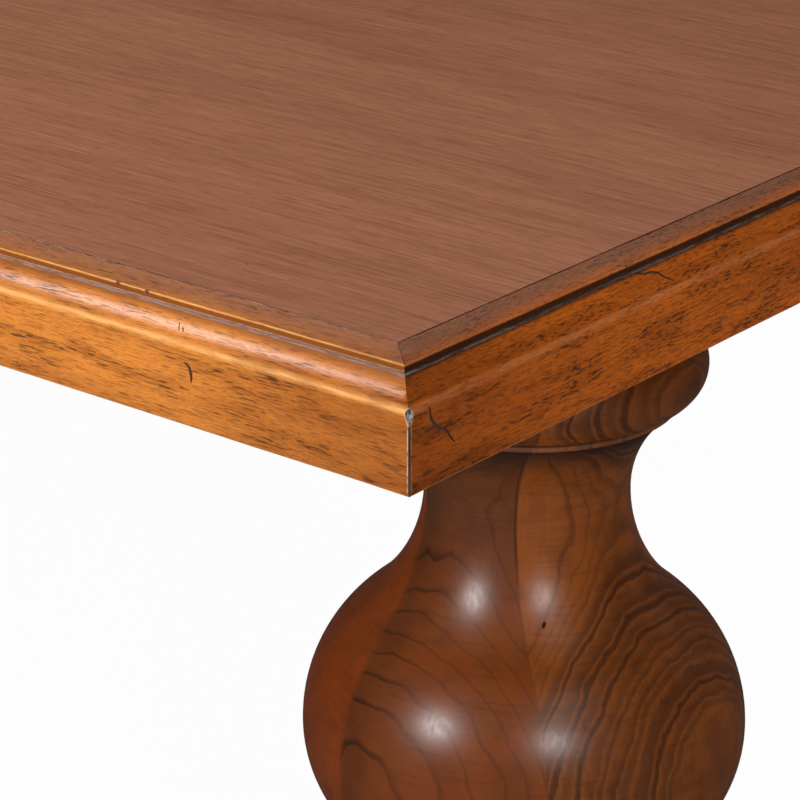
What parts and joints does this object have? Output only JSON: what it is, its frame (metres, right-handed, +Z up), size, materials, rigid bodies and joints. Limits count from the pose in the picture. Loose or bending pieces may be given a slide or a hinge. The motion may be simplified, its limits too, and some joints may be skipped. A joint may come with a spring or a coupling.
{
  "type": "double pedestal dining table",
  "caption": "Rectangular dining table: veneered top in a mitred, hollow-moulded frame, carried by turned vase pedestals on downswept legs with screw-in levelling glides.",
  "frame": {"origin": "on the floor under the middle of the top", "axes": "+X along the table, +Y across it towards the back, +Z up"},
  "size_m": [2.134, 1.016, 0.762],
  "materials": {
    "moulding_wood": "satin lacquer",
    "field_veneer": "satin lacquer",
    "pedestal_wood": "satin lacquer",
    "core_board": "raw fibreboard",
    "hidden_wood": "raw planed",
    "black_steel": "black paint",
    "zinc_steel": "zinc plated",
    "glide_plastic": "matte"
  },
  "bodies": {
    "table": {"front_moulding": "moulding_wood", "right_moulding": "moulding_wood", "back_moulding": "moulding_wood", "left_moulding": "moulding_wood", "field_veneer": "field_veneer", "top_core": "core_board", "backing_veneer": "hidden_wood", "edge_tongues": "hidden_wood", "mitre_splines": "hidden_wood", "right_outer_bearer": "hidden_wood", "right_inner_bearer": "hidden_wood", "right_cap": "pedestal_wood", "right_column": "pedestal_wood", "right_hub": "pedestal_wood", "right_spider": "black_steel", "left_outer_bearer": "hidden_wood", "left_inner_bearer": "hidden_wood", "left_cap": "pedestal_wood", "left_column": "pedestal_wood", "left_hub": "pedestal_wood", "left_spider": "black_steel", "front_rail": "hidden_wood", "back_rail": "hidden_wood", "rail_dowels": "hidden_wood", "right_outer_front_leg": "pedestal_wood", "right_outer_back_leg": "pedestal_wood", "right_inner_back_leg": "pedestal_wood", "right_inner_front_leg": "pedestal_wood", "left_outer_front_leg": "pedestal_wood", "left_outer_back_leg": "pedestal_wood", "left_inner_back_leg": "pedestal_wood", "left_inner_front_leg": "pedestal_wood", "top_screws": "zinc_steel", "tie_rods": "zinc_steel", "rod_nuts": "zinc_steel", "rod_washers": "zinc_steel", "cap_bolts": "zinc_steel", "cap_washers": "zinc_steel", "bearer_inserts": "zinc_steel", "spider_screws": "zinc_steel", "glide_sockets": "zinc_steel"},
    "right_outer_front_foot": {"right_outer_front_glide": "glide_plastic"},
    "right_outer_back_foot": {"right_outer_back_glide": "glide_plastic"},
    "right_inner_back_foot": {"right_inner_back_glide": "glide_plastic"},
    "right_inner_front_foot": {"right_inner_front_glide": "glide_plastic"},
    "left_outer_front_foot": {"left_outer_front_glide": "glide_plastic"},
    "left_outer_back_foot": {"left_outer_back_glide": "glide_plastic"},
    "left_inner_back_foot": {"left_inner_back_glide": "glide_plastic"},
    "left_inner_front_foot": {"left_inner_front_glide": "glide_plastic"}
  },
  "joints": [
    {"name": "right_outer_front_glide_screw", "type": "slide", "parent": "table", "child": "right_outer_front_foot", "axis": [0, 0, -1], "range_m": [0, 0.015]},
    {"name": "right_outer_back_glide_screw", "type": "slide", "parent": "table", "child": "right_outer_back_foot", "axis": [0, 0, -1], "range_m": [0, 0.015]},
    {"name": "right_inner_back_glide_screw", "type": "slide", "parent": "table", "child": "right_inner_back_foot", "axis": [0, 0, -1], "range_m": [0, 0.015]},
    {"name": "right_inner_front_glide_screw", "type": "slide", "parent": "table", "child": "right_inner_front_foot", "axis": [0, 0, -1], "range_m": [0, 0.015]},
    {"name": "left_outer_front_glide_screw", "type": "slide", "parent": "table", "child": "left_outer_front_foot", "axis": [0, 0, -1], "range_m": [0, 0.015]},
    {"name": "left_outer_back_glide_screw", "type": "slide", "parent": "table", "child": "left_outer_back_foot", "axis": [0, 0, -1], "range_m": [0, 0.015]},
    {"name": "left_inner_back_glide_screw", "type": "slide", "parent": "table", "child": "left_inner_back_foot", "axis": [0, 0, -1], "range_m": [0, 0.015]},
    {"name": "left_inner_front_glide_screw", "type": "slide", "parent": "table", "child": "left_inner_front_foot", "axis": [0, 0, -1], "range_m": [0, 0.015]}
  ]
}
